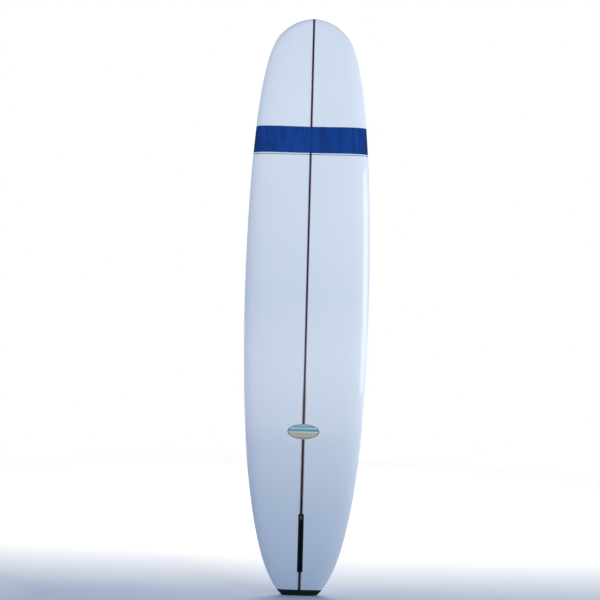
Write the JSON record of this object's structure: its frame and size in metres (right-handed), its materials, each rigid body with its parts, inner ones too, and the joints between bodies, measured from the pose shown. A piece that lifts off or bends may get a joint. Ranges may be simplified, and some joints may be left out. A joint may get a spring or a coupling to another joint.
{
  "type": "surfboard",
  "caption": "Longboard surfboard with a round nose, square tail, wood stringer, colour band, long fin box and deck leash plug.",
  "frame": {"origin": "centre of the flat end face of the tail block, at mid-thickness", "axes": "+Z from tail to nose, +Y out of the deck, +X to the right when the bottom is seen with the nose up"},
  "size_m": [0.5814, 0.127, 2.743],
  "materials": {
    "foam": "matte",
    "stringer_wood": "satin",
    "glue": "matte",
    "laminate": "gloss",
    "patch_cloth": "satin",
    "band_resin": "gloss",
    "pinline_resin": "gloss",
    "badge_print": "gloss",
    "block_resin": "gloss",
    "fin_box_plastic": "satin",
    "plate_steel": "satin",
    "screw_steel": "polished",
    "plug_plastic": "satin",
    "pin_steel": "polished"
  },
  "bodies": {
    "board": {"foam_left": "foam", "foam_right": "foam", "stringer": "stringer_wood", "glue_line_left": "glue", "glue_line_right": "glue", "deck_patch": "patch_cloth", "bottom_glass": "laminate", "deck_glass": "laminate", "color_band_bottom": "band_resin", "color_band_deck": "band_resin", "pinline_bottom": "pinline_resin", "pinline_deck": "pinline_resin", "badge": "badge_print", "tail_block": "block_resin", "fin_box": "fin_box_plastic", "leash_plug_cup": "plug_plastic", "leash_plug_pin": "pin_steel"},
    "fin_plate": {"fin_plate": "plate_steel"},
    "fin_screw": {"fin_screw": "screw_steel"}
  },
  "joints": [
    {"name": "fin_plate_slide", "type": "slide", "parent": "board", "child": "fin_plate", "axis": [0, -0.0978, 0.9952], "range_m": [-0.233, 0]},
    {"name": "fin_screw_turn", "type": "hinge", "parent": "fin_plate", "child": "fin_screw", "pos_m": [0, -0.05101, 0.36294], "axis": [0, 0.9952, 0.0978], "continuous": true}
  ]
}
